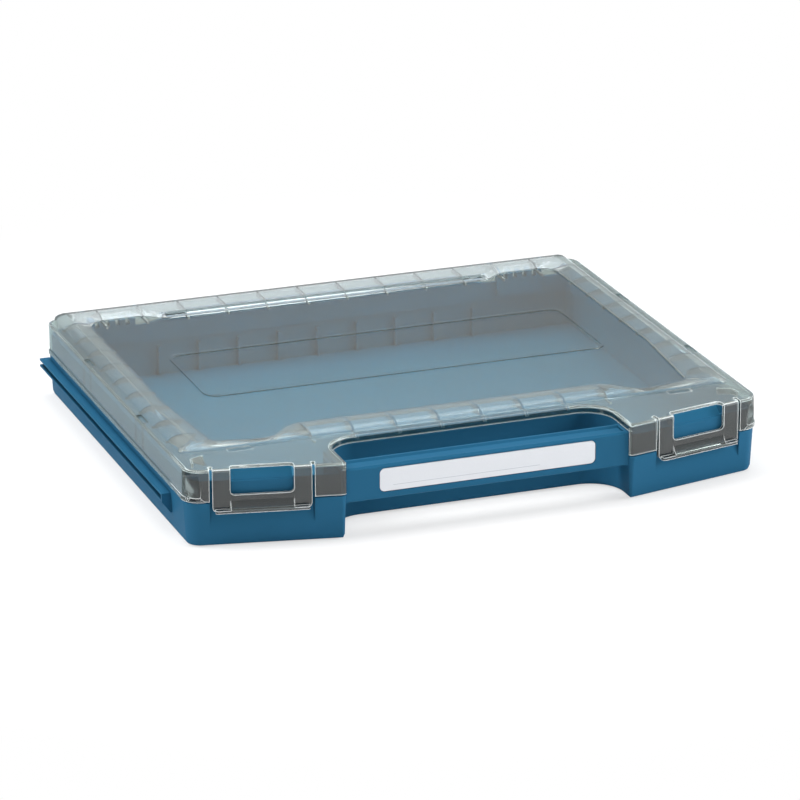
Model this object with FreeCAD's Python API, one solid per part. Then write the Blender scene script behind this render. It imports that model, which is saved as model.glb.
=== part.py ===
import FreeCAD, Part
import math
import os

# A flat carry case: a moulded tray with handle and runner rails, and a clear hinged lid with two latches.
# X runs along the front, Y points to the hinges, Z is up from the table. All lengths are in millimetres.

# Case
case_depth = 312.0            # noses to the backs of the hinge ears
lid_half_width = 178.5        # middle plane to the lid's side wall
nose_half = 87.7              # middle plane to the inner end of a front corner box
recess_depth = 42.0           # how far the handle recess reaches back from the noses
bow_degrees = 12.0            # how much the corner boxes' front faces turn back
nose_round = 2.5
recess_round = 18.0
recess_lean = 10.5            # the recess wall's foot in front of its top
nose_lean = 0.6               # how much less the inner sides of the corner boxes are drafted
corner_round = 10.5
rear_round = 8.0
overrun = 1.0                 # cuts reach this far past what they cut
least_round = 0.3
round_steps = 2               # flats that make a rounded edge
same_point = 0.0001           # closer points are one point

# Heights
floor_thick = 2.2
shoulder_z = 27.0             # top of the tray's outer wall
lid_gap = 1.0                 # shoulder to the lid's lower edge
upstand_z = 40.0              # top of the tray's inner wall
deck_z = 47.5                 # flat top of the lid's corners and side strips

# Tray walls
tray_wall = 2.2
tray_flush = 0.3              # outer wall behind the lid's face
tray_draft = 1.2              # lean of the outer wall over its height
tray_nose_round = 3.0
base_round = 3.2
upstand_inset = 3.2           # lid's face to the upstand's outer face
upstand_wall = 2.0

# Runner rails on the tray's sides
rail_reach = 5.0              # past the lid's side
rail_top_z = 23.2
rail_lip = 1.2
rail_slot = 2.8               # height of the groove between the lips
rail_web_reach = 0.8          # past the lid's side, at the bottom of the groove
rail_foot_drop = 7.0          # lower lip to the foot of the sloping underside
rail_front_gap = 51.0         # nose to the rail's front end
rail_rear_gap = 2.0           # rail's rear end to the rear wall
rail_end_thick = 2.0

# Handle bar and its label
handle_setback = 3.5          # behind the noses
handle_thick = 15.6
handle_low_z = 21.2
handle_high_z = 42.0
handle_round = 1.2
handle_ridge = 2.6            # width of each ridge along the top
handle_groove = 1.2           # depth of the channel between the ridges
handle_wall = 2.4
handle_gap = 0.6              # bar's ends to the lid's noses
handle_rib = 2.0
handle_rib_count = 6
label_end_gap = 20.7          # label to the inner end of a corner box
label_height = 14.0
label_thick = 0.5
label_round = 3.0
label_recess = 0.7
label_play = 0.3
label_low_z = 25.5

# Lid shell
lid_wall = 2.0
lid_edge_round = 1.6
bead_height = 4.8             # depth of the lid's edge over the handle recess
bead_gap = 0.8                # that edge to the tray's recess wall
skirt_bead = 0.7              # the lower edge's small outward bead
skirt_bead_height = 2.8
bead_wrap = 10.5              # how far the bead goes round the front corners
strip_width = 5.8             # flat strip along each side
deck_margin = 5.4             # flat strip behind the handle recess
hump_round = 6.0
hump_rise = 3.1               # crest of the rim over the deck
hump_run = 9.0                # width of the rim's outer slope
hump_rear_past = 6.0          # the rim's outer slope runs this far past the rear wall
hump_steps = 4
side_rim = 16.7               # width of the rim at the sides
front_rim = 24.0              # in the middle of the front
front_rim_narrow = 5.7        # beside the corner boxes
rear_rim = 26.5               # in the middle of the rear
rear_rim_narrow = 16.5        # near the hinges
front_bend_gap = 57.0         # panel's side to where its front edge starts to bend
rear_bend_gap = 47.0
bend_round = 15.0
panel_round = 11.0
front_corner_round = 6.0
side_taper = 7.0              # the panel narrows by this much on each side
taper_run = 75.0              # over this length behind its front corners
taper_round = 100.0
panel_over_deck = 0.4
panel_step = 0.6              # small upright step round the panel
side_slope = 9.5              # width of the rim's slope down to the panel, at the sides
front_slope = 10.5
rear_slope = 5.2

# Lid details
rib_pitch = 26.55
rib_thick = 1.2
rib_drop = 1.2                # below the deck's underside
rib_first_gap = 21.2          # rear wall to the first rib along the sides
frame_side_gap = 26.7         # panel's side to the raised plain frame on it
frame_depth = 80.5
frame_gap = 59.8              # panel's front edge to the frame
frame_line = 2.2
frame_rise = 0.6
frame_round = 9.0
notch_length = 14.0           # small pockets along the side strips
notch_width = 3.4
notch_depth = 1.2
notch_rows = (3, 7)           # half pitches from the middle of the first rib gap
wall_rib = 1.0                # thin upright ribs inside the side walls, below the notches
wall_rib_reach = 0.7
slot_width = 4.8              # long pocket along the rear rim
slot_rise = 0.3               # its floor over the panel
slot_end_gap = 1.5            # to where the panel's rear edge bends
deck_pocket_length = 15.0
deck_pocket_width = 6.0
deck_pocket_depth = 0.6
deck_pocket_side_gap = 40.5   # lid's side to the pocket's middle
deck_pocket_gap = 0.6         # pocket to the foot of the rim
guide_thick = 1.2             # bent guide rib under the deck in each front corner
guide_drop = 3.0
guide_side_gap = 9.3          # lid's side to the guide's bend
guide_back = 19.4             # outer end of a corner face to the bend
guide_long = 8.5
guide_short = 6.8

# Latches, measured along a corner face from its nose
tab_start = 20.6
tab_outer_gap = 14.8          # latch to the outer end of the corner face
slit = 1.6
keyhole_reach = 4.4           # how far the slits run on to the deck
keyhole_round = 1.3
post_width = 10.4             # latch's side posts, beside its window
window_low_z = 31.6
window_wrap = 6.0             # the window's reach on to the deck
window_round = 2.6
tab_low_z = 21.5
tab_round = 3.0
lip_reach = 3.2
lip_thick = 1.8
scoop_high_z = 30.2           # top of the curve between the posts that leads to the lip
scoop_share = 0.34            # how hollow that curve is
root_gap = 0.12               # the bend at a tab's root
block_play = 0.7              # catch block to the window's sides
block_gap = 0.6               # catch block to the latch bar
block_high_z = 44.8
block_bevel = 5.8
block_deep = 6.0
pocket_low_z = 7.0
pocket_side_gap = 3.0
pocket_gap = 0.2              # pocket's floor to the upstand's face

# Hinges
hinge_stand = 3.5             # axis behind the rear wall
ear_radius = 3.2
ear_thick = 3.0
ear_side_gap = 23.8           # lid's side to the outer ear
ear_spacing = 34.7
ear_high_over_deck = 2.2
ear_top_round = 2.6
fin_reach = 4.2
pin_radius = 1.5
pin_fit = 0.02                # radial, in the tray's knuckle
ear_fit = 0.06                # radial, in the lid's ears
knuckle_play = 0.4
knuckle_foot_z = 12.0
knuckle_lean_degrees = 9.0    # slope of the web under a knuckle

# Tray details
comb_low_z = 28.0
comb_high_z = 43.0
comb_teeth = 5
comb_tooth = 3.6
comb_slot = 3.0
comb_deep = 3.0
notch_low_z = 37.0            # rear upstand, lowered near the hinges
notch_inner_gap = 5.0         # inner ear to the lowered stretch
notch_outer_gap = 10.3
notch_slope = 14.0            # width of the slope at its inner end
locator_thick = 1.5
locator_deep = 3.0
locator_high_z = 21.0
locator_count = 9

# Values that follow from those above
bow = math.radians(bow_degrees)
skirt_z = shoulder_z + lid_gap
panel_z = deck_z + panel_over_deck
rear_y = case_depth / 2 - hinge_stand - ear_radius
axis_y = rear_y + hinge_stand
axis_z = skirt_z
nose_y = nose_round - nose_round * (1 + math.sin(bow)) / math.cos(bow) - case_depth / 2
outer_y = nose_y + (lid_half_width - nose_half) * math.tan(bow)
recess_y = nose_y + recess_depth
handle_y = nose_y + handle_setback
hump_front_y = recess_y + deck_margin
side_rib_count = int((rear_y - rib_first_gap - hump_front_y) / rib_pitch) + 1
hump_half = lid_half_width - strip_width
panel_half = hump_half - side_rim
panel_front_y = hump_front_y + front_rim
panel_rear_y = rear_y - rear_rim
front_bend_x = panel_half - front_bend_gap
rear_bend_x = panel_half - rear_bend_gap
face_length = (lid_half_width - nose_half) / math.cos(bow)
tab_width = face_length - tab_start - tab_outer_gap
tab_middle = tab_start + tab_width / 2
window_width = tab_width - post_width - post_width
label_width = (nose_half - label_end_gap) * 2
ear_outer_x = lid_half_width - ear_side_gap
ear_inner_x = ear_outer_x - ear_spacing
crest_z = deck_z + hump_rise
bead_z = deck_z - bead_height
shelf_z = shoulder_z - tray_wall


def vec(x, y, z=0.0):
    return FreeCAD.Vector(x, y, z)


def mirrored(half):
    """Close a right half outline, listed from the front to the rear, with its mirror image."""
    return half + [(-x, y, r) for x, y, r in reversed(half)]


def inset(corners, distance):
    """Move every side of a counter-clockwise outline inwards; its rounded corners keep their centres."""
    moved = []
    count = len(corners)
    for i, (x, y, radius) in enumerate(corners):
        here = vec(x, y)
        before = here - vec(corners[i - 1][0], corners[i - 1][1])
        after = vec(corners[(i + 1) % count][0], corners[(i + 1) % count][1]) - here
        before.normalize()
        after.normalize()
        left_before = vec(-before.y, before.x)
        left_after = vec(-after.y, after.x)
        shift = (left_before + left_after) * (distance / (1 + left_before.dot(left_after)))
        turns_left = before.cross(after).z > 0
        new_radius = radius - distance if turns_left else radius + distance
        moved.append((x + shift.x, y + shift.y, max(new_radius, least_round)))
    return moved


def outline_wire(corners, z):
    """A closed flat wire through the corners, each rounded by its own radius."""
    count = len(corners)
    arcs = []
    for i, (x, y, radius) in enumerate(corners):
        here = vec(x, y, z)
        back = vec(corners[i - 1][0], corners[i - 1][1], z) - here
        ahead = vec(corners[(i + 1) % count][0], corners[(i + 1) % count][1], z) - here
        back.normalize()
        ahead.normalize()
        half_angle = back.getAngle(ahead) / 2
        reach = radius / math.tan(half_angle)
        inward = back + ahead
        inward.normalize()
        middle = here + inward * (radius / math.sin(half_angle) - radius)
        arcs.append((here + back * reach, middle, here + ahead * reach))
    edges = []
    for i, (start, middle, end) in enumerate(arcs):
        edges.append(Part.Arc(start, middle, end).toShape())
        following = arcs[(i + 1) % count][0]
        if end.distanceToPoint(following) > same_point:
            edges.append(Part.LineSegment(end, following).toShape())
    return Part.Wire(edges)


def slab(corners, low_z, high_z):
    """An outline drawn up from one height to another."""
    return Part.Face(outline_wire(corners, low_z)).extrude(vec(0, 0, high_z - low_z))


def stack(levels):
    """A solid through the same outline at several heights; levels are (corners, z) pairs."""
    return Part.makeLoft([outline_wire(corners, z) for corners, z in levels], True, True)


def box(low, high):
    """A box between two corners."""
    return Part.makeBox(high[0] - low[0], high[1] - low[1], high[2] - low[2], vec(*low))


def rounding(corners, z, run, rise, steps):
    """Levels of an outline that curves in as it climbs from a height, as on a rounded edge."""
    levels = []
    for i in range(steps + 1):
        turn = math.pi / 2 * i / steps
        levels.append((inset(corners, run * (1 - math.cos(turn))), z + rise * math.sin(turn)))
    return levels


def prism_x(points, x_low, x_high):
    """A polygon of (y, z) points drawn along X."""
    corners = [vec(x_low, y, z) for y, z in points]
    return Part.Face(Part.makePolygon(corners + corners[:1])).extrude(vec(x_high - x_low, 0))


def prism_y(points, y_low, y_high):
    """A polygon of (x, z) points drawn along Y."""
    corners = [vec(x, y_low, z) for x, z in points]
    return Part.Face(Part.makePolygon(corners + corners[:1])).extrude(vec(0, y_high - y_low))


def rod_x(y, z, radius, x_low, x_high):
    """A round bar along X."""
    return Part.makeCylinder(radius, x_high - x_low, vec(x_low, y, z), vec(1, 0))


def rectangle(half_x, low_y, high_y, radius):
    """A rounded rectangle as an outline, the same on both sides of the middle plane."""
    return mirrored([(half_x, low_y, radius), (half_x, high_y, radius)])


def mirror(shape):
    return shape.mirror(vec(0, 0), vec(1, 0))


def both_sides(shape):
    return [shape, mirror(shape)]


def wall_between(start, end, thick, low_z, high_z):
    """An upright wall along the line between two (x, y) points."""
    along = vec(*end) - vec(*start)
    plate = Part.makeBox(along.Length, thick, high_z - low_z, vec(0, -thick / 2))
    turn = FreeCAD.Rotation(vec(1, 0), along)
    plate.Placement = FreeCAD.Placement(vec(*start, low_z), turn).multiply(plate.Placement)
    return plate


def on_corner(shape):
    """Carry a shape from a corner face's own frame (x along the face, y inwards) to the right corner box."""
    face = FreeCAD.Placement(vec(nose_half, nose_y), FreeCAD.Rotation(vec(0, 0, 1), bow_degrees))
    placed = shape.copy()
    placed.Placement = face.multiply(placed.Placement)
    return placed


def case_outline(nose_radius, lean):
    """The case from above: corner boxes with bowed faces and a recess that leans in at the tray's foot."""
    inner_x = nose_half - nose_lean * lean
    return mirrored([
        (inner_x, recess_y - recess_lean * lean, recess_round),
        (inner_x, nose_y, nose_radius),
        (lid_half_width, outer_y, corner_round),
        (lid_half_width, rear_y, rear_round),
    ])


def panel_outline(spread):
    """The lid's flat panel, or at a spread of 1 the rim's crest round it, with double bends."""
    front_step = front_rim - front_rim_narrow
    rear_step = rear_rim - rear_rim_narrow
    side = panel_half + side_slope * spread
    front = panel_front_y - front_slope * spread
    rear = panel_rear_y + rear_slope * spread
    bend_end = front_bend_x + front_step
    corner_y = front - front_step + (side - side_taper - bend_end) * math.tan(bow)
    return mirrored([
        (front_bend_x, front, bend_round),
        (bend_end, front - front_step, bend_round),
        (side - side_taper, corner_y, front_corner_round),
        (side, corner_y + taper_run, taper_round),
        (side, rear + rear_step, panel_round),
        (rear_bend_x + rear_step, rear + rear_step, bend_round),
        (rear_bend_x, rear, bend_round),
    ])


def tray_shell():
    """Drafted outer wall with a rounded base, a shoulder for the lid's skirt and an upstand inside it."""
    outline = case_outline(tray_nose_round, 0)
    foot = inset(case_outline(tray_nose_round, 1), tray_flush + tray_draft)
    shoulder = inset(outline, tray_flush)
    base = [(level, base_round - z) for level, z in rounding(foot, 0, base_round, base_round, round_steps)]
    outer = stack(base[::-1] + [(shoulder, shoulder_z)])
    upstand = slab(inset(outline, upstand_inset), shelf_z, upstand_z)
    recess_wall = slab(shoulder, shoulder_z, bead_z - bead_gap).common(box(
        (-nose_half - upstand_inset, nose_y + nose_round + lid_gap, shoulder_z),
        (nose_half + upstand_inset, recess_y + upstand_inset, upstand_z + bead_height)))
    cavity = stack([(inset(foot, tray_wall), floor_thick), (inset(shoulder, tray_wall), shelf_z)])
    cavity = cavity.cut(both_sides(on_corner(finger_pocket(tray_wall))))
    mouth = slab(inset(outline, upstand_inset + upstand_wall), shelf_z - overrun, upstand_z + bead_height)
    shell = outer.fuse([upstand, recess_wall]).cut(both_sides(on_corner(finger_pocket(0))))
    return shell.cut(cavity).cut(mouth).fuse(both_sides(on_corner(catch_block())))


def finger_pocket(grow):
    """The hollow behind a latch's lip, or the wall round it: upright behind the bar, then running out."""
    half = tab_width / 2 + pocket_side_gap / 2 + grow
    deep = upstand_inset - pocket_gap + grow
    knee_z = tab_low_z - lid_gap - grow
    points = [
        (-overrun, skirt_z),
        (deep, skirt_z),
        (deep, knee_z),
        (grow, pocket_low_z - grow),
        (-overrun, pocket_low_z - grow),
    ]
    return prism_x(points, tab_middle - half, tab_middle + half)


def catch_block():
    """The block that fills a latch's window, with a bevel for the bar to ride over."""
    half = window_width / 2 - block_play
    face = lid_wall + block_gap
    points = [
        (face, shelf_z),
        (face, block_high_z - block_bevel),
        (face + block_bevel - block_gap, block_high_z),
        (face + block_deep, block_high_z),
        (face + block_deep, shelf_z),
    ]
    return prism_x(points, tab_middle - half, tab_middle + half)


def runner_rail():
    """The right-hand rail: two lips round a groove, a sloping underside and a closed front end."""
    tip = lid_half_width + rail_reach
    web = lid_half_width + rail_web_reach
    root = lid_half_width - tray_flush - tray_draft
    groove_top = rail_top_z - rail_lip
    groove_low = groove_top - rail_slot
    lip_low = groove_low - rail_lip
    front = nose_y + rail_front_gap
    rear = rear_y - rail_rear_gap
    points = [
        (root, rail_top_z),
        (tip, rail_top_z),
        (tip, groove_top),
        (web, groove_top),
        (web, groove_low),
        (tip, groove_low),
        (tip, lip_low),
        (lid_half_width - tray_flush, lip_low - rail_foot_drop),
        (root, lip_low - rail_foot_drop),
    ]
    end = box((root, front, groove_low), (tip, front + rail_end_thick, groove_top))
    return prism_y(points, front, rear).fuse(end)


def handle_bar():
    """The carrying bar across the recess: two ridges on top, open and ribbed below, with a label recess."""
    half = nose_half - handle_gap
    back = handle_y + handle_thick
    groove_z = handle_high_z - handle_groove
    points = [
        (handle_y, handle_low_z),
        (handle_y, handle_high_z - handle_groove),
        (handle_y + handle_groove, handle_high_z),
        (handle_y + handle_ridge, handle_high_z),
        (handle_y + handle_ridge + handle_groove, groove_z),
        (back - handle_ridge - handle_groove, groove_z),
        (back - handle_ridge, handle_high_z),
        (back - handle_groove, handle_high_z),
        (back, handle_high_z - handle_groove),
        (back, handle_low_z),
    ]
    bar = prism_x(points, -half, half)
    bar = bar.makeFillet(handle_round, lower_edges_along_x(bar, handle_low_z))
    hollow = box((-half + handle_wall, handle_y + handle_wall, handle_low_z - overrun),
                 (half - handle_wall, back - handle_wall, groove_z - handle_wall))
    pitch = (half + half) / (handle_rib_count + 1)
    ribs = []
    for i in range(handle_rib_count):
        x = -half + pitch * (i + 1)
        ribs.append(box((x - handle_rib / 2, handle_y + handle_wall - overrun, handle_low_z + handle_round),
                        (x + handle_rib / 2, back - handle_wall + overrun, groove_z)))
    bar = bar.cut(hollow.cut(ribs))
    recess = label_plate(label_play, handle_y - overrun, handle_y + label_recess)
    bar = bar.cut(recess)
    side_low = box((half - overrun, handle_y + handle_round, handle_low_z),
                   (nose_half + tray_wall, back, shoulder_z))
    side_high = box((half - overrun, nose_y + nose_round + lid_gap, handle_low_z),
                    (nose_half + tray_wall, back, bead_z - bead_gap))
    return bar.fuse(both_sides(side_low) + both_sides(side_high))


def lower_edges_along_x(shape, z):
    """The edges that run along X at one height."""
    found = []
    for edge in shape.Edges:
        bounds = edge.BoundBox
        if abs(bounds.ZMax - z) < least_round and bounds.YLength < least_round:
            found.append(edge)
    return found


def label_plate(grow, low_y, high_y):
    """A rounded plate upright in the handle's face, or the recess for it."""
    half = label_width / 2 + grow
    corners = rectangle(half, label_low_z - grow, label_low_z + label_height + grow, label_round + grow)
    flat = slab(corners, 0, high_y - low_y)
    flat.rotate(vec(0, 0), vec(1, 0), 90)
    flat.translate(vec(0, high_y))
    return flat


def knuckle():
    """The right-hand hinge barrel on the tray, carried by a web that runs down its rear wall."""
    left = ear_inner_x + ear_thick / 2 + knuckle_play
    right = ear_outer_x - ear_thick / 2 - knuckle_play
    root = rear_y - tray_flush - tray_draft
    lean = math.radians(knuckle_lean_degrees)
    web = [
        (root, knuckle_foot_z),
        (axis_y + ear_radius * math.cos(lean), axis_z - ear_radius * math.sin(lean)),
        (axis_y, axis_z),
        (root, shoulder_z),
    ]
    return prism_x(web, left, right).fuse(rod_x(axis_y, axis_z, ear_radius, left, right))


def comb():
    """The slotted block inside the rear wall by each hinge."""
    back = rear_y - upstand_inset
    front = back - upstand_wall - comb_deep
    pitch = comb_tooth + comb_slot
    start = (ear_inner_x + ear_outer_x) / 2 - (comb_teeth * pitch - comb_slot) / 2
    teeth = []
    for i in range(comb_teeth):
        x = start + i * pitch
        teeth.append(box((x, front, comb_low_z), (x + comb_tooth, back, comb_high_z)))
    web = box((start, front, comb_low_z), (start + comb_teeth * pitch - comb_slot, back, upstand_z - lid_gap))
    return web.fuse(teeth)


def locators():
    """Short upright ribs inside the rear wall."""
    back = rear_y - tray_flush - tray_wall
    ribs = []
    for i in range(locator_count):
        x = (i - (locator_count - 1) / 2) * rib_pitch
        ribs.append(box((x - locator_thick / 2, back - tray_draft - locator_deep, floor_thick - least_round),
                        (x + locator_thick / 2, back, locator_high_z)))
    return ribs


def make_tray():
    tray = tray_shell()
    inner = ear_inner_x - notch_inner_gap
    outer = ear_outer_x + notch_outer_gap
    points = [
        (inner, notch_low_z),
        (outer, notch_low_z),
        (outer, upstand_z + overrun),
        (inner - notch_slope, upstand_z + overrun),
        (inner - notch_slope, upstand_z),
    ]
    low_rear = prism_y(points, rear_y - upstand_inset - upstand_wall - overrun, rear_y)
    tray = tray.cut(both_sides(low_rear))
    tray = tray.fuse(both_sides(runner_rail()) + both_sides(knuckle()) + both_sides(comb()) + locators())
    tray = tray.fuse(handle_bar())
    bore = rod_x(axis_y, axis_z, pin_radius + pin_fit, ear_inner_x, ear_outer_x)
    return tray.cut(both_sides(bore)).removeSplitter()


def dome(corners, base_z, drop):
    """The raised rim's outer form: an outline that curves in as it rises from the deck."""
    return stack([(corners, base_z)] + rounding(corners, deck_z - drop, hump_run, hump_rise, hump_steps))


def basin(grow, drop):
    """The hollow inside the rim: the panel's outline, a small step, then a slope to past the crest."""
    step_z = panel_z + panel_step
    spread = (crest_z + overrun - step_z) / (crest_z - step_z)
    panel = inset(panel_outline(0), -grow)
    past_crest = inset(panel_outline(spread), -grow)
    return stack([(panel, panel_z - drop), (panel, step_z - drop), (past_crest, crest_z + overrun - drop)])


def lid_ribs():
    """Thin ribs under the rim: across both sides, the rear and the middle of the front."""
    low = deck_z - lid_wall - rib_drop
    high = crest_z
    ribs = wall_ribs() + corner_guides()
    for i in range(side_rib_count):
        y = rear_y - rib_first_gap - i * rib_pitch
        rib = box((panel_half, y - rib_thick / 2, low), (hump_half + overrun, y + rib_thick / 2, high))
        ribs.extend(both_sides(rib))
    count = int(panel_half / rib_pitch + 1 / 2)
    for i in range(count):
        x = (i + 1 / 2) * rib_pitch
        rear = box((x - rib_thick / 2, panel_rear_y, low), (x + rib_thick / 2, rear_y, high))
        ribs.extend(both_sides(rear))
        if x < front_bend_x:
            front = box((x - rib_thick / 2, recess_y, low), (x + rib_thick / 2, panel_front_y, high))
            ribs.extend(both_sides(front))
    return ribs


def notch_places():
    """Where the notches lie along the sides."""
    first = rear_y - rib_first_gap + rib_pitch / 2
    return [first - row * rib_pitch for row in notch_rows]


def wall_ribs():
    """Two thin upright ribs inside each side wall below each notch."""
    inside = lid_half_width - lid_wall
    ribs = []
    for middle in notch_places():
        for y in (middle - notch_length / 2, middle + notch_length / 2):
            rib = box((inside - wall_rib_reach, y - wall_rib / 2, skirt_z + skirt_bead_height),
                      (inside + overrun, y + wall_rib / 2, deck_z))
            ribs.extend(both_sides(rib))
    return ribs


def corner_guides():
    """A bent guide rib under the deck in each front corner, inside the tray's upstand."""
    bend = vec(lid_half_width - guide_side_gap, outer_y + guide_back)
    low = deck_z - lid_wall - guide_drop
    ends = (
        (bend.x - guide_long * math.cos(bow + bow), bend.y + guide_long * math.sin(bow + bow)),
        (bend.x + guide_short * math.sin(bow), bend.y - guide_short * math.cos(bow)),
    )
    ribs = []
    for end in ends:
        ribs.extend(both_sides(wall_between((bend.x, bend.y), end, guide_thick, low, deck_z)))
    return ribs


def lid_skin():
    """The whole lid before its latches are cut free: skirt, deck, raised rim, panel and the ribs inside."""
    outline = case_outline(nose_round, 0)
    edge = rounding(outline, deck_z - lid_edge_round, lid_edge_round, lid_edge_round, round_steps)
    body = stack([(outline, skirt_z)] + edge)
    bead = slab(inset(outline, -skirt_bead), skirt_z, skirt_z + skirt_bead_height)
    bead_end = lid_half_width - bead_wrap
    sloped_end = [
        (bead_end, skirt_z),
        (lid_half_width + skirt_bead, skirt_z),
        (lid_half_width + skirt_bead, skirt_z + skirt_bead_height),
        (bead_end + skirt_bead_height, skirt_z + skirt_bead_height),
    ]
    along_side = prism_y(sloped_end, -case_depth, rear_y - rear_round)
    body = body.fuse([bead.common(side) for side in both_sides(along_side)])
    rim = rectangle(hump_half, hump_front_y, rear_y + hump_rear_past, hump_round)
    hump = dome(rim, deck_z - lid_wall, 0)
    hump = hump.common(slab(outline, deck_z - lid_wall - overrun, deck_z + bead_height))
    outer = body.fuse(hump).cut(basin(0, 0))
    inner = inset(outline, lid_wall)
    under = dome(inset(rim, lid_wall), shelf_z, lid_wall)
    under = under.common(slab(inner, shelf_z, deck_z + bead_height))
    under = under.cut([basin(lid_wall, lid_wall), rear_slot(lid_wall)])
    void = slab(inner, shelf_z, deck_z - lid_wall).fuse(under).cut(lid_ribs())
    return outer.cut(void)


def latch_prism():
    """The stretch of skirt that makes a latch, mitred at its root along the lid's front edge."""
    points = [
        (-overrun, skirt_z - overrun),
        (lid_wall + overrun, skirt_z - overrun),
        (lid_wall + overrun, deck_z - lid_wall - overrun),
        (-overrun, deck_z + overrun),
    ]
    return prism_x(points, tab_start, tab_start + tab_width)


def window():
    """The opening in a latch: round-cornered in the front face, and wrapping on to the deck."""
    half = window_width / 2
    face = rectangle(half, window_low_z, deck_z + window_round, window_round)
    front = slab(face, 0, lid_wall + overrun + overrun)
    front.rotate(vec(0, 0), vec(1, 0), 90)
    front.translate(vec(tab_middle, lid_wall + overrun))
    wrap = rectangle(half, -window_round, window_wrap, window_round)
    deck = slab(wrap, window_low_z + window_round, deck_z + overrun)
    deck.translate(vec(tab_middle, 0))
    return front.fuse(deck)


def slits():
    """Two slits beside a latch, each ending in a round hole on the deck."""
    cuts = []
    for x in (tab_start - slit, tab_start + tab_width):
        cut = box((x, -overrun, skirt_z - overrun), (x + slit, keyhole_reach, deck_z + overrun))
        hole = Part.makeCylinder(keyhole_round, lid_wall + overrun + overrun,
                                 vec(x + slit / 2, keyhole_reach, deck_z - lid_wall - overrun))
        cuts.append(cut.fuse(hole))
    return cuts


def make_latch(skin):
    """The right-hand latch: two posts cut from the skin, a bar below the window and a lip to pull."""
    posts = skin.common(on_corner(latch_prism().cut(window())))
    root = on_corner(box((tab_start - overrun, -overrun, deck_z - lid_wall - overrun),
                         (tab_start + tab_width + overrun, lid_wall + overrun, deck_z + overrun)))
    clear = root.common(on_corner(mitre_gap()))
    posts = posts.cut(clear)
    corners = [
        (tab_start, tab_low_z, tab_round),
        (tab_start + tab_width, tab_low_z, tab_round),
        (tab_start + tab_width, window_low_z, least_round),
        (tab_start, window_low_z, least_round),
    ]
    bar = slab(corners, 0, lid_wall)
    bar.rotate(vec(0, 0), vec(1, 0), 90)
    bar.translate(vec(0, lid_wall))
    lip_half = (tab_width - tab_round) / 2
    flange = slab(rectangle(lip_half, -lip_reach, lid_wall, tab_round / 2), tab_low_z, tab_low_z + lip_thick)
    flange.translate(vec(tab_middle, 0))
    return posts.fuse([on_corner(bar), on_corner(flange), on_corner(scoop())]).removeSplitter()


def scoop():
    """The hollow curve between the posts that leads from a latch's window down to its lip."""
    tip = vec(0, -lip_reach, tab_low_z + lip_thick)
    top = vec(0, 0, scoop_high_z)
    rise = scoop_high_z - tip.z
    middle = vec(0, -lip_reach * scoop_share, tip.z + rise * scoop_share)
    foot = vec(0, -lip_reach, tab_low_z)
    heel = vec(0, lid_wall, tab_low_z)
    back = vec(0, lid_wall, scoop_high_z)
    edges = [Part.Arc(tip, middle, top).toShape()]
    for start, end in ((top, back), (back, heel), (heel, foot), (foot, tip)):
        edges.append(Part.LineSegment(start, end).toShape())
    half = window_width / 2
    curve = Part.Face(Part.Wire(edges)).extrude(vec(half + half, 0))
    curve.translate(vec(tab_middle - half, 0))
    return curve


def mitre_gap():
    """A thin slice along the root's mitre, which keeps the latch clear of the lid."""
    slice_high = root_gap * math.sqrt(2)
    points = [
        (-overrun, deck_z + overrun),
        (lid_wall + overrun, deck_z - lid_wall - overrun),
        (lid_wall + overrun, deck_z - lid_wall - overrun - slice_high),
        (-overrun, deck_z + overrun - slice_high),
    ]
    return prism_x(points, tab_start - overrun, tab_start + tab_width + overrun)


def hinge_ear(x):
    """One ear: an eye round the pin and a fin that climbs the lid's rear wall."""
    high = deck_z + ear_high_over_deck
    fin = [
        (rear_y - lid_wall / 2, axis_z),
        (axis_y, axis_z),
        (axis_y + ear_radius, axis_z),
        (rear_y + fin_reach, axis_z + ear_radius + ear_radius),
        (rear_y + fin_reach, high - ear_top_round),
        (rear_y + fin_reach - ear_top_round, high),
        (rear_y - lid_wall / 2, high),
    ]
    left = x - ear_thick / 2
    right = x + ear_thick / 2
    eye = rod_x(axis_y, axis_z, ear_radius, left, right)
    bore = rod_x(axis_y, axis_z, pin_radius + ear_fit, left - overrun, right + overrun)
    return prism_x(fin, left, right).fuse(eye).cut(bore)


def make_lid(skin):
    recess_cut = box((-nose_half - lid_wall - overrun, nose_y + nose_round, shelf_z),
                     (nose_half + lid_wall + overrun, recess_y + lid_wall + overrun, bead_z))
    cuts = [recess_cut]
    for part in [latch_prism(), window()] + slits():
        cuts.extend(both_sides(on_corner(part)))
    cuts.extend(both_sides(deck_pocket()))
    cuts.extend(strip_notches())
    cuts.append(rear_slot(0))
    lid = skin.cut(cuts)
    ears = []
    for x in (ear_inner_x, ear_outer_x):
        ears.extend(both_sides(hinge_ear(x)))
    return lid.fuse(ears + [panel_frame()]).removeSplitter()


def deck_pocket():
    """The shallow rounded pocket on the right corner deck."""
    rear = hump_front_y - deck_pocket_gap
    corners = rectangle(deck_pocket_length / 2, rear - deck_pocket_width, rear, overrun)
    pocket = slab(corners, deck_z - deck_pocket_depth, deck_z + overrun)
    pocket.translate(vec(lid_half_width - deck_pocket_side_gap, 0))
    return pocket


def strip_notches():
    """Small pockets in the flat strips along the sides."""
    right = hump_half + (strip_width + notch_width) / 2
    notches = []
    for y in notch_places():
        notch = box((right - notch_width, y - notch_length / 2, deck_z - notch_depth),
                    (right, y + notch_length / 2, deck_z + overrun))
        notches.extend(both_sides(notch))
    return notches


def rear_slot(grow):
    """The long round-ended pocket along the rear rim, or the wall round it."""
    front = panel_rear_y + rear_slope - slot_width
    corners = rectangle(rear_bend_x - slot_end_gap, front, front + slot_width, slot_width / 2)
    return slab(inset(corners, -grow), panel_z + slot_rise - grow, crest_z + overrun)


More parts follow.
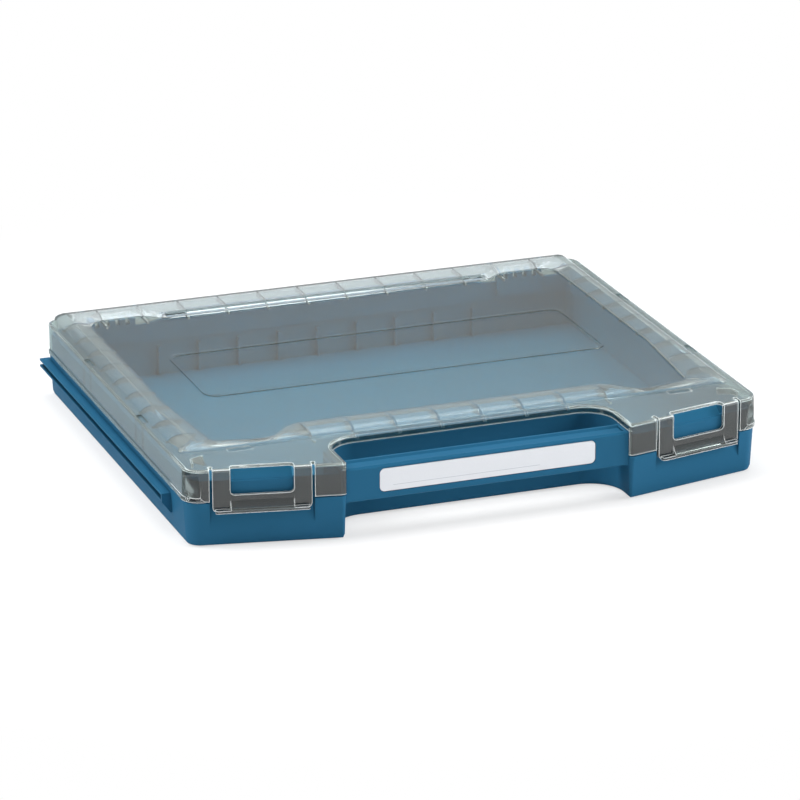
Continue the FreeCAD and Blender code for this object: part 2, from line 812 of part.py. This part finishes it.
def panel_frame():
    """A plain raised frame on the panel."""
    front = panel_front_y + frame_gap
    outer = rectangle(panel_half - frame_side_gap, front, front + frame_depth, frame_round)
    ring = slab(outer, panel_z - lid_wall / 2, panel_z + frame_rise)
    return ring.cut(slab(inset(outer, frame_line), panel_z - lid_wall, panel_z + frame_rise + overrun))


def make_hinge_pin():
    """The right-hand pin, flush with the outer faces of its two ears."""
    return rod_x(axis_y, axis_z, pin_radius, ear_inner_x - ear_thick / 2, ear_outer_x + ear_thick / 2)


def make_label():
    return label_plate(0, handle_y + label_recess - label_thick, handle_y + label_recess)


os.makedirs("parts", exist_ok=True)
skin = lid_skin()
latch = make_latch(skin)
pin = make_hinge_pin()
parts = {
    "tray": make_tray(),
    "lid": make_lid(skin),
    "latch_right": latch,
    "latch_left": mirror(latch),
    "hinge_pin_right": pin,
    "hinge_pin_left": mirror(pin),
    "label": make_label(),
}
for name, shape in parts.items():
    bounds = shape.BoundBox
    print(name, "valid", shape.isValid(), "solids", len(shape.Solids), "volume", round(shape.Volume),
          "x", round(bounds.XMin, 1), round(bounds.XMax, 1),
          "y", round(bounds.YMin, 1), round(bounds.YMax, 1),
          "z", round(bounds.ZMin, 1), round(bounds.ZMax, 1))
    shape.exportStep("parts/" + name + ".step")
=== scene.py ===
import math

import bmesh
import bpy
from mathutils import Matrix, Vector


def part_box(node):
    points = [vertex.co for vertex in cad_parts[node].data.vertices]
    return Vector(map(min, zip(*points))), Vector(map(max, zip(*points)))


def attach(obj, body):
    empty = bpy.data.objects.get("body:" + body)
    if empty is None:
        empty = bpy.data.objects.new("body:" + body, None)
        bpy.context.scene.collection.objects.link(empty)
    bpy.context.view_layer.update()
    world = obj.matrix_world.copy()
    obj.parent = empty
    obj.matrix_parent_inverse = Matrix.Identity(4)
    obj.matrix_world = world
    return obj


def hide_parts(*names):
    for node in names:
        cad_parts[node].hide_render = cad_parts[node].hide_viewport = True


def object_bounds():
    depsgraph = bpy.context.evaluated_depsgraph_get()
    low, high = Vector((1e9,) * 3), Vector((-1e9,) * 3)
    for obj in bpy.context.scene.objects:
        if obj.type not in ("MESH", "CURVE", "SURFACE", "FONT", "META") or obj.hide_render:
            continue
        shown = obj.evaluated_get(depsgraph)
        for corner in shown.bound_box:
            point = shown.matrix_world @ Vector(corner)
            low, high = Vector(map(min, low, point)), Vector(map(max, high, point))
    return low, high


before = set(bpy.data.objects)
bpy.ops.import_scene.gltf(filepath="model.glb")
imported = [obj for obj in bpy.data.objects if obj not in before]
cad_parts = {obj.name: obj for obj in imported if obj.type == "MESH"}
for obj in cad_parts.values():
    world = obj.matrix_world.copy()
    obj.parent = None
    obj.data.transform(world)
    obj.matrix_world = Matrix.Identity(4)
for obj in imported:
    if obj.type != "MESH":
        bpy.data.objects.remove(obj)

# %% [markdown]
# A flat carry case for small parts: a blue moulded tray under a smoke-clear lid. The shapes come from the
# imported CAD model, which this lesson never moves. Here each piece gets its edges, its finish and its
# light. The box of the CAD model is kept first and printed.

cad_low, cad_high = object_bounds()
MM = 0.001
print("CAD box in mm:", [round(v / MM, 1) for v in cad_high - cad_low])

# %% [markdown]
# Colours are written as sRGB hex values, as a paint chart gives them, but shaders add and multiply light,
# so they need linear values. One function turns the one into the other. A second one adds a shader node
# with its settings and its links, so that each material reads as a list of what it is made of.

# %% Colours and nodes
def linear(hex_colour):
    channels = [int(hex_colour[i:i + 2], 16) / 255 for i in (1, 3, 5)]
    values = [c / 12.92 if c <= 0.04045 else ((c + 0.055) / 1.055) ** 2.4 for c in channels]
    return (*values, 1.0)


def add(tree, kind, inputs=None, **settings):
    """Add a node; an input is a value, or another node's output socket to link."""
    node = tree.nodes.new("ShaderNode" + kind)
    for name, value in settings.items():
        setattr(node, name, value)
    for name, value in (inputs or {}).items():
        socket = node.inputs[name]
        if isinstance(value, bpy.types.NodeSocket):
            tree.links.new(value, socket)
        else:
            socket.default_value = value
    return node


def new_material(name):
    material = bpy.data.materials.new(name)
    material.use_nodes = True
    material.node_tree.nodes.clear()
    return material, material.node_tree


WHITE = (1.0, 1.0, 1.0, 1.0)
print("linear value of mid grey:", [round(v, 3) for v in linear("#808080")[:3]])

# %% [markdown]
# Light that runs inside clear plastic comes out at its edges, so the cut-outs of the lid's front look
# outlined in white. They could be modelled as thin strips, but a bevel node finds them by itself: within a
# radius of an edge its normal turns away from the true one, and there the shader mixes over to a white
# surface, a painted highlight for that light. The rim and the sides have no cut edges, so the white fades
# out behind the front.

# %% Painted white edges
def painted_white_edges(tree, place, surface, edge_mm):
    edge_starts = 0.94      # how alike the two normals are where the white starts
    edge_full = 0.82        # and where it is full
    clear_y = -106 * MM
    white_y = -112 * MM
    true_side = add(tree, "NewGeometry")
    turned = add(tree, "Bevel", {"Radius": edge_mm * MM}, samples=6)
    alike = add(tree, "VectorMath", {0: turned.outputs["Normal"], 1: true_side.outputs["Normal"]},
                operation="DOT_PRODUCT")
    edge = add(tree, "MapRange", {
        "Value": alike.outputs["Value"],
        "From Min": edge_starts,
        "From Max": edge_full,
    })
    axes = add(tree, "SeparateXYZ", {"Vector": place.outputs["Object"]})
    front = add(tree, "MapRange", {"Value": axes.outputs["Y"], "From Min": clear_y, "From Max": white_y})
    share = add(tree, "Math", {0: edge.outputs["Result"], 1: front.outputs["Result"]}, operation="MULTIPLY")
    # painted highlight: a white surface mixed in along the front's edges, for light that comes out of them
    painted_edge_white = add(tree, "BsdfPrincipled", {"Base Color": linear("#F6FAFB"), "Roughness": 0.5})
    mix = add(tree, "MixShader", {0: share.outputs[0], 1: surface, 2: painted_edge_white.outputs["BSDF"]})
    print("white edges:", edge_mm, "mm")
    return mix.outputs[0]


# %% [markdown]
# The lid is clear polycarbonate with a little smoke grey in it, injection moulded. The big panel comes from
# a polished insert in the mould, so it is a window. The rim round it is satin and the corner decks are
# clearer. The upright walls look darker: they are seen through more plastic, and on the front their dark
# tint is also painted shade for the dark gaps behind them. All are one glass-like shader: the base colour
# is what is left of the light after one face, and the part that isn't transmitted is the haze. The surface
# has faint flow waves. A lamp's light can't be traced straight through glass, so for shadow rays the wall
# is a plain tinted pane.

# %% Smoke polycarbonate
def smoke_polycarbonate(name, tint, clear_share, rough_low, rough_high, edge_mm=0):
    material, tree = new_material("smoke_polycarbonate_" + name)
    place = add(tree, "TexCoord")
    flow_mm = 38.0
    wave_mm = 0.3
    waves = add(tree, "TexNoise", {
        "Vector": place.outputs["Object"],
        "Scale": 1 / (flow_mm * MM),
        "Detail": 2.0,
    })
    bump = add(tree, "Bump", {"Height": waves.outputs["Fac"], "Strength": 0.03, "Distance": wave_mm * MM})
    haze_mm = 9.0
    haze = add(tree, "TexNoise", {
        "Vector": place.outputs["Object"],
        "Scale": 1 / (haze_mm * MM),
        "Detail": 3.0,
    })
    rough = add(tree, "MapRange", {"Value": haze.outputs["Fac"], "To Min": rough_low, "To Max": rough_high})
    shader = add(tree, "BsdfPrincipled", {
        "Base Color": linear(tint),
        "Transmission Weight": clear_share,
        "IOR": 1.585,
        "Roughness": rough.outputs["Result"],
        "Normal": bump.outputs["Normal"],
    })
    surface = shader.outputs["BSDF"]
    if edge_mm:
        surface = painted_white_edges(tree, place, surface, edge_mm)
    rays = add(tree, "LightPath")
    pane = add(tree, "BsdfTransparent", {"Color": linear(tint)})
    lit = add(tree, "MixShader", {0: rays.outputs["Is Shadow Ray"], 1: surface, 2: pane.outputs[0]})
    add(tree, "OutputMaterial", {"Surface": lit.outputs[0]})
    print(material.name, "nodes:", len(tree.nodes))
    return material


# %% [markdown]
# The tray is ABS, moulded in a mould whose face was spark-eroded: a fine even grain that makes the blue
# satin and hides sink marks. Real grain is about 0.1 mm, too fine for this picture, so it is drawn at about
# 0.5 mm. Solid ABS has an IOR near 1.54, but grain scatters most of the sheen, so a lower one is matched to
# the case. Narrow nooks such as the runner's groove get little light: there an occlusion node, which looks
# how open a spot is, darkens the blue as painted shade.

# %% Blue ABS
def blue_abs():
    material, tree = new_material("blue_abs_spark_grain")
    place = add(tree, "TexCoord")
    grain_mm = 0.5
    grain_deep_mm = 0.08
    grain = add(tree, "TexNoise", {
        "Vector": place.outputs["Object"],
        "Scale": 1 / (grain_mm * MM),
        "Detail": 2.0,
    })
    cloud_mm = 45.0
    cloud = add(tree, "TexNoise", {
        "Vector": place.outputs["Object"],
        "Scale": 1 / (cloud_mm * MM),
        "Detail": 2.0,
    })
    tone = add(tree, "MixRGB", {
        "Fac": cloud.outputs["Fac"],
        "Color1": linear("#235977"),
        "Color2": linear("#275E7F"),
    })
    # painted shade: the blue is darkened in narrow nooks, where little light gets in
    nook_mm = 6.0
    open_sky = add(tree, "AmbientOcclusion", {"Distance": nook_mm * MM}, samples=8, only_local=True)
    nook = add(tree, "MapRange", {
        "Value": open_sky.outputs["AO"],
        "From Min": 0.25,
        "From Max": 0.6,
        "To Min": 0.15,
    })
    painted_shade_tone = add(tree, "MixRGB", {"Fac": 1.0, "Color1": tone.outputs[0], "Color2": nook.outputs["Result"]},
                 blend_type="MULTIPLY")
    rough = add(tree, "MapRange", {"Value": grain.outputs["Fac"], "To Min": 0.42, "To Max": 0.56})
    bump = add(tree, "Bump", {
        "Height": grain.outputs["Fac"],
        "Strength": 0.25,
        "Distance": grain_deep_mm * MM,
    })
    shader = add(tree, "BsdfPrincipled", {
        "Base Color": painted_shade_tone.outputs[0],
        "Roughness": rough.outputs["Result"],
        "IOR": 1.12,
        "Normal": bump.outputs["Normal"],
    })
    add(tree, "OutputMaterial", {"Surface": shader.outputs["BSDF"]})
    print(material.name, "nodes:", len(tree.nodes))
    return material


# %% [markdown]
# The label is a polypropylene film with a satin face. One thin grey line runs along its lower part, to
# write on. The line is drawn from the label's own measures, so it sits at the same place whatever the
# camera does.

# %% White label film
def white_film():
    material, tree = new_material("white_polypropylene_film")
    low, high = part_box("label")
    line_up_mm = 3.4
    line_half_mm = 0.13
    line_middle_share = 0.40
    line_half_share = 0.34
    width = high.x - low.x
    place = add(tree, "TexCoord")
    axes = add(tree, "SeparateXYZ", {"Vector": place.outputs["Object"]})
    above = add(tree, "Math", {0: axes.outputs["Z"], 1: low.z + line_up_mm * MM, 2: line_half_mm * MM},
                operation="COMPARE")
    middle_x = low.x + line_middle_share * width
    along = add(tree, "Math", {0: axes.outputs["X"], 1: middle_x, 2: line_half_share * width},
                operation="COMPARE")
    line = add(tree, "Math", {0: above.outputs[0], 1: along.outputs[0]}, operation="MULTIPLY")
    fibre_mm = 0.8
    fibre_deep_mm = 0.05
    fibre = add(tree, "TexNoise", {"Vector": place.outputs["Object"], "Scale": 1 / (fibre_mm * MM)})
    white = add(tree, "MixRGB", {
        "Fac": fibre.outputs["Fac"],
        "Color1": linear("#CFD2D7"),
        "Color2": linear("#D5D8DD"),
    })
    ink = add(tree, "MixRGB", {
        "Fac": line.outputs[0],
        "Color1": white.outputs[0],
        "Color2": linear("#A9AEB6"),
    })
    bump = add(tree, "Bump", {
        "Height": fibre.outputs["Fac"],
        "Strength": 0.06,
        "Distance": fibre_deep_mm * MM,
    })
    shader = add(tree, "BsdfPrincipled", {
        "Base Color": ink.outputs[0],
        "Roughness": 0.4,
        "IOR": 1.49,
        "Normal": bump.outputs["Normal"],
    })
    add(tree, "OutputMaterial", {"Surface": shader.outputs["BSDF"]})
    print(material.name, "nodes:", len(tree.nodes))
    return material


# %% [markdown]
# Each hinge turns on a pin cut from drawn steel wire. Drawing leaves fine lines along the wire, so the
# noise is stretched along X, the way the pins lie.

# %% Drawn steel wire
def steel_wire():
    material, tree = new_material("drawn_steel_wire")
    place = add(tree, "TexCoord")
    line_mm = 0.15
    stretch_share = 0.02
    stretch = add(tree, "Mapping", {"Vector": place.outputs["Object"], "Scale": (stretch_share, 1.0, 1.0)})
    lines = add(tree, "TexNoise", {"Vector": stretch.outputs["Vector"], "Scale": 1 / (line_mm * MM)})
    rough = add(tree, "MapRange", {"Value": lines.outputs["Fac"], "To Min": 0.25, "To Max": 0.45})
    tone = add(tree, "MixRGB", {
        "Fac": lines.outputs["Fac"],
        "Color1": linear("#A9A9A8"),
        "Color2": linear("#C4C4C2"),
    })
    shader = add(tree, "BsdfPrincipled", {
        "Base Color": tone.outputs[0],
        "Metallic": 1.0,
        "Roughness": rough.outputs["Result"],
    })
    add(tree, "OutputMaterial", {"Surface": shader.outputs["BSDF"]})
    print(material.name, "nodes:", len(tree.nodes))
    return material


# %% [markdown]
# A moulding has no knife edges. Each CAD mesh is copied, its flat faces are joined, and its normals are
# weighted so that flats stay flat. The opaque pieces get a small bevel on their sharp edges. The clear lid
# is too finely cut for that, so its edges are marked as sharp, and its bright lines are the painted white
# edges above. The copy then stands for its node and rides on its body.

# %% Dress a CAD piece
weld_mm = 0.002
flat_degrees = 0.6
bevel_degrees = 38
sharp_degrees = 30


def dressed(node, body, finishes, radius_mm=0, finish_of=None):
    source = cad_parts[node]
    mesh = source.data.copy()
    mesh.materials.clear()
    for material in finishes.values():
        mesh.materials.append(material)
    cells = bmesh.new()
    cells.from_mesh(mesh)
    bmesh.ops.remove_doubles(cells, verts=cells.verts, dist=weld_mm * MM)
    bmesh.ops.dissolve_limit(cells, angle_limit=math.radians(flat_degrees), verts=cells.verts,
                             edges=cells.edges, delimit={"NORMAL"})
    if finish_of:
        names = list(finishes)
        for cell in cells.faces:
            finish = finish_of(cell.calc_center_median() / MM, cell.normal)
            cell.material_index = names.index(finish)
    cells.to_mesh(mesh)
    cells.free()
    mesh.shade_smooth()
    piece = bpy.data.objects.new(node + "_dressed", mesh)
    bpy.context.scene.collection.objects.link(piece)
    if radius_mm:
        bevel = piece.modifiers.new("edge radius", "BEVEL")
        bevel.width = radius_mm * MM
        bevel.segments = 2
        bevel.limit_method = "ANGLE"
        bevel.angle_limit = math.radians(bevel_degrees)
    else:
        mesh.set_sharp_from_angle(angle=math.radians(sharp_degrees))
    weighted = piece.modifiers.new("flat faces", "WEIGHTED_NORMAL")
    weighted.keep_sharp = True
    weighted.weight = 60
    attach(piece, body)
    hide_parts(node)
    print(piece.name, "faces:", len(mesh.polygons))
    return piece


# %% [markdown]
# The lid is one moulding, but its places look different: the polished panel, the corner decks, the satin
# rim, the thin ribs and the upright walls. It could be cut into pieces, but clear plastic only looks
# right as one closed wall, so each face picks its finish by where it lies and which way it looks.

# %% Where the lid's finishes lie, in mm
panel_z = 47.9              # upper face of the sunk panel
panel_under_z = 45.9        # and its lower face
panel_play = 0.1
frame_half_x = 135.0        # the panel's raised frame lies within this
frame_half_y = 70.0
rib_low_z = 45.6            # upright faces above this, and behind the next, are ribs under the rim
rib_front_y = -128.0
top_low_z = 45.0            # faces above this are the lid's top
rear_rim_y = 115.0          # the top behind this is the rear rim
deck_high_z = 47.7          # level faces of the top below this are decks
front_wall_y = -100.0       # walls in front of this are the front
rear_wall_y = 140.0         # walls behind this are the rear wall
level_share = 0.99          # least Z of a level face's normal
upright_share = 0.3         # greatest Z of an upright face's normal
across_share = 0.9          # least Y of the normal of a rib across the side


def lid_finish(centre, normal):
    """Which of the lid's finishes a face has, by its place and the way it looks."""
    is_level = abs(normal.z) > level_share
    is_upright = abs(normal.z) < upright_share
    off_panel = min(abs(centre.z - panel_z), abs(centre.z - panel_under_z))
    if is_level and off_panel < panel_play:
        return "panel"
    if centre.z > panel_z and abs(centre.x) < frame_half_x and abs(centre.y) < frame_half_y:
        return "panel"
    if is_upright and centre.z > rib_low_z and centre.y > rib_front_y:
        return "rib"
    if centre.z > top_low_z and centre.y > rear_rim_y:
        return "rear"
    if centre.z > top_low_z:
        return "deck" if is_level and centre.z < deck_high_z else "rim"
    if centre.y < front_wall_y:
        return "front"
    return "rib" if abs(normal.y) > across_share and centre.y < rear_wall_y else "wall"


print("panel faces in mm:", panel_under_z, panel_z)

# %% [markdown]
# Now every piece is dressed. The tints of the lid are matched place by place, as lighter and darker copies
# of one plastic: the rear rim is seen edge on and looks white, so its light tint is a painted highlight;
# the front stands before dark gaps and the ribs show as dark lines, so their dark tints are painted shade.

# %% Dress all pieces
lid_plastic = {
    "rim": smoke_polycarbonate("satin_rim", "#D5DFDE", 0.92, 0.13, 0.19, 0.9),
    "deck": smoke_polycarbonate("clear_deck", "#D4DDD9", 0.935, 0.06, 0.12, 0.9),
    # painted highlight: a light tint and more haze for the rear rim's white edge-on look
    "rear": smoke_polycarbonate("satin_rear_rim_painted_light", "#EDF3F4", 0.84, 0.06, 0.12),
    "panel": smoke_polycarbonate("polished_panel", "#EEF3EC", 0.985, 0.01, 0.03),
    # painted shade: a dark tint for the dark gaps behind the front walls
    "front": smoke_polycarbonate("front_wall", "#6C7674", 0.94, 0.03, 0.07, 1.1),
    "wall": smoke_polycarbonate("side_wall", "#CCDEE0", 0.88, 0.03, 0.07),
    # painted shade: a dark tint so that the ribs show as dark lines
    "rib": smoke_polycarbonate("ribs", "#6E7A7C", 0.97, 0.05, 0.1),
}
pin_steel = {"wire": steel_wire()}
dressed("tray", "tray", {"grain": blue_abs()}, radius_mm=0.4)
dressed("lid", "lid", lid_plastic, finish_of=lid_finish)
for side in ("left", "right"):
    latch = "latch_" + side
    dressed(latch, latch, lid_plastic, finish_of=lid_finish)
    dressed("hinge_pin_" + side, "tray", pin_steel, radius_mm=0.2)
dressed("label", "tray", {"film": white_film()}, radius_mm=0.1)

# %% [markdown]
# The picture is a studio shot on white. The floor is a pale paper sheet that keeps the soft shadow near
# the case and runs out to pure white further away, so no horizon shows.

# %% Floor
def paper_floor():
    material, tree = new_material("white_studio_paper")
    shadow_reach = 0.22
    white_reach = 0.5
    place = add(tree, "TexCoord")
    distance = add(tree, "VectorMath", {0: place.outputs["Object"]}, operation="LENGTH")
    fade = add(tree, "MapRange", {
        "Value": distance.outputs["Value"],
        "From Min": shadow_reach,
        "From Max": white_reach,
        "To Min": 0.6,
        "To Max": 1.0,
    }, interpolation_type="SMOOTHSTEP")
    rays = add(tree, "LightPath")
    seen = add(tree, "Math", {0: rays.outputs["Is Camera Ray"], 1: rays.outputs["Is Transmission Ray"]},
               operation="ADD", use_clamp=True)
    share = add(tree, "Math", {0: seen.outputs[0], 1: fade.outputs["Result"]}, operation="MULTIPLY")
    paper = add(tree, "BsdfDiffuse", {"Color": linear("#F7F7F7")})
    white = add(tree, "Emission", {"Color": WHITE, "Strength": 1.0})
    mix = add(tree, "MixShader", {0: share.outputs[0], 1: paper.outputs[0], 2: white.outputs[0]})
    add(tree, "OutputMaterial", {"Surface": mix.outputs[0]})
    return material


def sheet(name, corners, material):
    """A flat four-cornered sheet, for the floor and the cards."""
    mesh = bpy.data.meshes.new(name)
    mesh.from_pydata(corners, [], [(0, 1, 2, 3)])
    mesh.materials.append(material)
    flat = bpy.data.objects.new(name, mesh)
    bpy.context.scene.collection.objects.link(flat)
    return flat


floor_half = 6.0
floor_gap_mm = 0.05
floor_corners = [
    (-floor_half, -floor_half, 0),
    (floor_half, -floor_half, 0),
    (floor_half, floor_half, 0),
    (-floor_half, floor_half, 0),
]
floor = sheet("floor", floor_corners, paper_floor())
floor.location.z = -floor_gap_mm * MM
print("floor:", 2 * floor_half, "m wide")

# %% [markdown]
# The world gives an even soft light. What the camera, a reflection or the clear lid sees of it is plain
# white.

# %% World
world = bpy.data.worlds.new("studio")
bpy.context.scene.world = world
world.use_nodes = True
tree = world.node_tree
tree.nodes.clear()
rays = add(tree, "LightPath")
seen = add(tree, "Math", {0: rays.outputs["Is Camera Ray"], 1: rays.outputs["Is Glossy Ray"]},
           operation="ADD")
seen = add(tree, "Math", {0: seen.outputs[0], 1: rays.outputs["Is Transmission Ray"]}, operation="ADD",
           use_clamp=True)
soft = add(tree, "Background", {"Color": WHITE, "Strength": 0.42})
white = add(tree, "Background", {"Color": WHITE, "Strength": 1.0})
mix = add(tree, "MixShader", {0: seen.outputs[0], 1: soft.outputs[0], 2: white.outputs[0]})
add(tree, "OutputWorld", {"Surface": mix.outputs[0]})
print("world nodes:", len(tree.nodes))

# %% [markdown]
# Three soft boxes shape the case: a key from the left, a fill from the right and a large one overhead.
# Bare lamps would give hard spots, so each is a wide area lamp. Reflections don't show them, because the
# clear lid would mirror them as bright squares.

# %% Lamps
case_middle = Vector((0, 0, 0.03))


def softbox(name, place, size, watts):
    lamp = bpy.data.lights.new(name, "AREA")
    lamp.shape = "RECTANGLE"
    lamp.size, lamp.size_y = size
    lamp.energy = watts
    holder = bpy.data.objects.new(name, lamp)
    bpy.context.scene.collection.objects.link(holder)
    holder.location = place
    holder.visible_glossy = False
    holder.rotation_euler = (case_middle - Vector(place)).to_track_quat("-Z", "Y").to_euler()


softbox("key", place=(-1.6, 0.4, 1.7), size=(1.2, 1.2), watts=39)
softbox("fill", place=(2.0, -0.9, 0.9), size=(1.2, 0.9), watts=40)
softbox("top", place=(0.1, 0.4, 2.2), size=(1.5, 1.5), watts=30)

# %% [markdown]
# The clear lid is a mirror for whatever stands behind it. Photographers hang a grey card there to see
# into it, and lay a second one beside the case for the side wall. The camera doesn't see the cards
# themselves.

# %% Grey cards
def grey_card():
    material, tree = new_material("grey_card")
    dark_below = 0.64
    light_above = 0.72
    place = add(tree, "TexCoord")
    axes = add(tree, "SeparateXYZ", {"Vector": place.outputs["Object"]})
    tone = add(tree, "MapRange", {
        "Value": axes.outputs["Z"],
        "From Min": dark_below,
        "From Max": light_above,
        "To Min": 0.37,
        "To Max": 0.5,
    })
    glow = add(tree, "Emission", {"Color": WHITE, "Strength": tone.outputs["Result"]})
    add(tree, "OutputMaterial", {"Surface": glow.outputs[0]})
    return material


def hang_card(name, corners, material):
    card = sheet(name, corners, material)
    card.visible_camera = False
    card.visible_diffuse = False
    card.visible_shadow = False


grey = grey_card()
behind_left = -2.0
behind_right = 3.2
behind_y = 1.6
behind_high = 1.6
behind_corners = [
    (behind_left, behind_y, 0),
    (behind_right, behind_y, 0),
    (behind_right, behind_y, behind_high),
    (behind_left, behind_y, behind_high),
]
hang_card("card_behind", behind_corners, grey)
beside_gap_mm = 3
beside_width = 0.4
beside_inner = cad_low.x - beside_gap_mm * MM
beside_outer = beside_inner - beside_width
beside_front = -0.2
beside_rear = 0.6
beside_corners = [
    (beside_outer, beside_front, 0),
    (beside_inner, beside_front, 0),
    (beside_inner, beside_rear, 0),
    (beside_outer, beside_rear, 0),
]
hang_card("card_beside", beside_corners, grey)

# %% [markdown]
# The camera stands where the photographer stood: far off with a long lens, a little to the left and
# above. Its place was fitted to the edges in the photograph, and so was its focal length, in picture
# points.

# %% Camera
azimuth = math.radians(-20.37)
elevation = math.radians(19.83)
roll = math.radians(-0.16)
target = Vector((-2.84, -13.6, 26.5)) * MM
distance = 2692.8 * MM
focal_px = 4437.3
picture_px = 800
back = Vector((math.sin(azimuth) * math.cos(elevation), -math.cos(azimuth) * math.cos(elevation),
               math.sin(elevation)))
level = Vector((0, 0, 1)).cross(back).normalized()
rise = back.cross(level)
across = level * math.cos(roll) + rise * math.sin(roll)
up = rise * math.cos(roll) - level * math.sin(roll)
lens = bpy.data.cameras.new("camera")
lens.sensor_width = 36.0
lens.lens = focal_px / picture_px * lens.sensor_width
camera = bpy.data.objects.new("camera", lens)
bpy.context.scene.collection.objects.link(camera)
turn = Matrix((across, up, back)).transposed().to_4x4()
camera.matrix_world = Matrix.Translation(target + back * distance) @ turn
bpy.context.scene.camera = camera
bpy.context.scene.view_settings.view_transform = "Standard"
print("lens:", round(lens.lens, 1), "mm")
